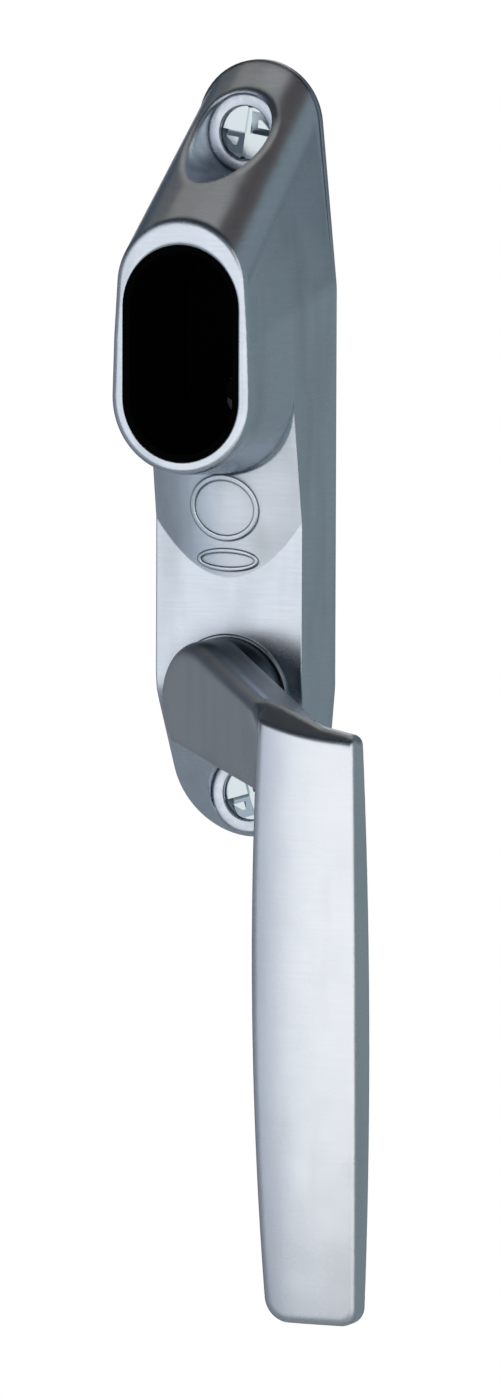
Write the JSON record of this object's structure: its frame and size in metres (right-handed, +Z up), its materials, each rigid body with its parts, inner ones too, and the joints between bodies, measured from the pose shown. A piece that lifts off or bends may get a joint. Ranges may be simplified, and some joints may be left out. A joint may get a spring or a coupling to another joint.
{
  "type": "locking window handle",
  "caption": "Locking window handle with a cranked lever on a tall cast housing, a raised boss with an oval cylinder pocket, countersunk fixing screws and a square spindle.",
  "frame": {"origin": "The spindle's axis on the housing's back face, which is the sash face.", "axes": "+Z up the housing, +Y into the sash along the spindle, +X to the side that the lever is cranked to."},
  "size_m": [0.0531, 0.0685, 0.2154],
  "materials": {
    "satin_casting": "satin",
    "black_moulding": "matte",
    "zinc_screw": "bright zinc plate",
    "acetal": "matte",
    "bright_steel": "drawn",
    "spring_steel": "rolled",
    "brass_bush": "turned",
    "blackened_steel": "black oxide"
  },
  "bodies": {
    "housing": {"housing": "satin_casting", "cylinder_sleeve": "black_moulding", "mounting_screws": "zinc_screw", "hub_bush": "brass_bush", "thrust_washer": "acetal", "friction_washer": "acetal", "stop_pin": "bright_steel", "cover_plate": "zinc_screw", "cover_screws": "zinc_screw"},
    "handle": {"lever_handle": "satin_casting", "spindle": "bright_steel", "spindle_screw": "blackened_steel", "lock_disc": "bright_steel", "disc_spring": "spring_steel", "retaining_ring": "blackened_steel"},
    "bolt": {"lock_bolt": "bright_steel", "drive_peg": "blackened_steel", "bolt_spring": "spring_steel", "spring_rivets": "bright_steel"}
  },
  "joints": [
    {"name": "handle_turn", "type": "hinge", "parent": "housing", "child": "handle", "pos_m": [0, 0, 0], "axis": [0, -1, 0], "range_deg": [0, 90]},
    {"name": "bolt_slide", "type": "slide", "parent": "housing", "child": "bolt", "axis": [0, 0, -1], "range_m": [0, 0.002]}
  ]
}
